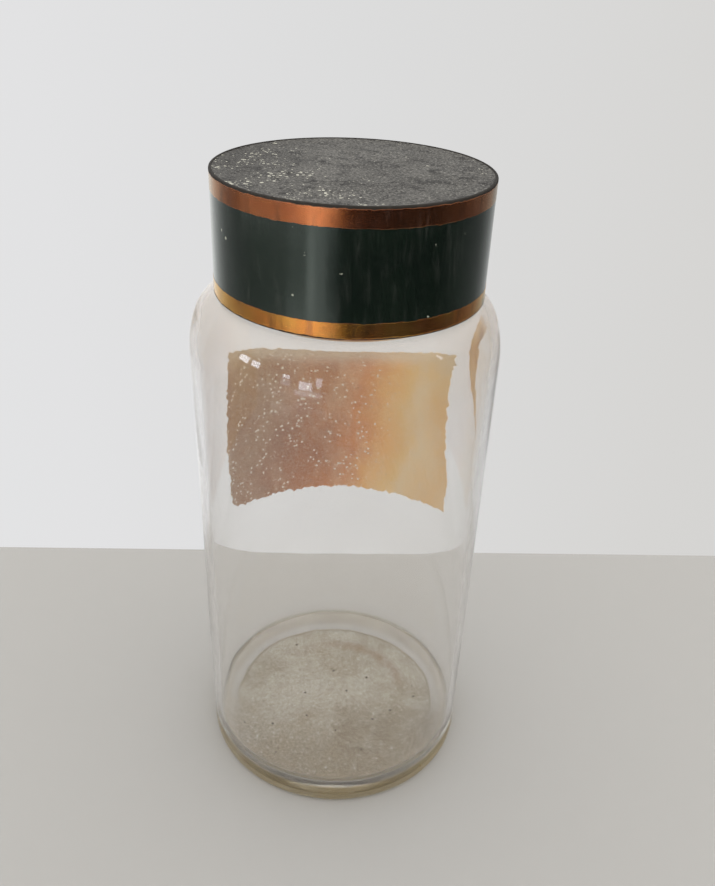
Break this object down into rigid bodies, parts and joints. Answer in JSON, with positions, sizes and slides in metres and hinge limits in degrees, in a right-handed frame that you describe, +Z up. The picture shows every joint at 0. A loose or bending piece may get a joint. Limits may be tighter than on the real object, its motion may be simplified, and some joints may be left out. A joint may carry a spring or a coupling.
{
  "type": "lidded glass specimen jar",
  "caption": "Tall cylindrical clear glass jar with rounded shoulder and a deep lift-off tin lid in dark green with copper bands, old paper label on the back.",
  "frame": {"origin": "centre of the base, on the surface that the jar stands on", "axes": "+Z up along the jar's axis of revolution; +Y towards the back, where the paper label is; +X to the right"},
  "size_m": [0.1302, 0.1304, 0.2872],
  "materials": {
    "clear_glass": "clear, dusty, hand-blown",
    "tinplate": "dull rolled tinplate",
    "solder": "dull solder",
    "oxidised_tinplate": "oxidised, speckled",
    "copper_band": "worn polished copper",
    "green_enamel": "gloss enamel, scuffed",
    "liner_card": "matt card",
    "label_paper": "aged paper with dried glue",
    "dried_paste": "matt, flaking",
    "dried_dirt": "matt dust film"
  },
  "bodies": {
    "jar": {"glass_jar": "clear_glass", "paper_label": "label_paper", "paste_streak": "dried_paste", "floor_residue": "dried_dirt"},
    "liner": {"lid_liner": "liner_card"},
    "lid": {"lid_skirt": "tinplate", "side_seam_solder": "solder", "lid_top_plate": "oxidised_tinplate", "rim_solder": "solder", "upper_copper_band": "copper_band", "green_enamel_band": "green_enamel", "lower_copper_band": "copper_band"}
  },
  "joints": [
    {"name": "lid_lift", "type": "slide", "parent": "jar", "child": "liner", "axis": [0, 0, 1], "range_m": [0, 0.15]},
    {"name": "lid_turn", "type": "hinge", "parent": "liner", "child": "lid", "pos_m": [0, 0, 0.2866], "axis": [0, 0, 1], "continuous": true}
  ]
}
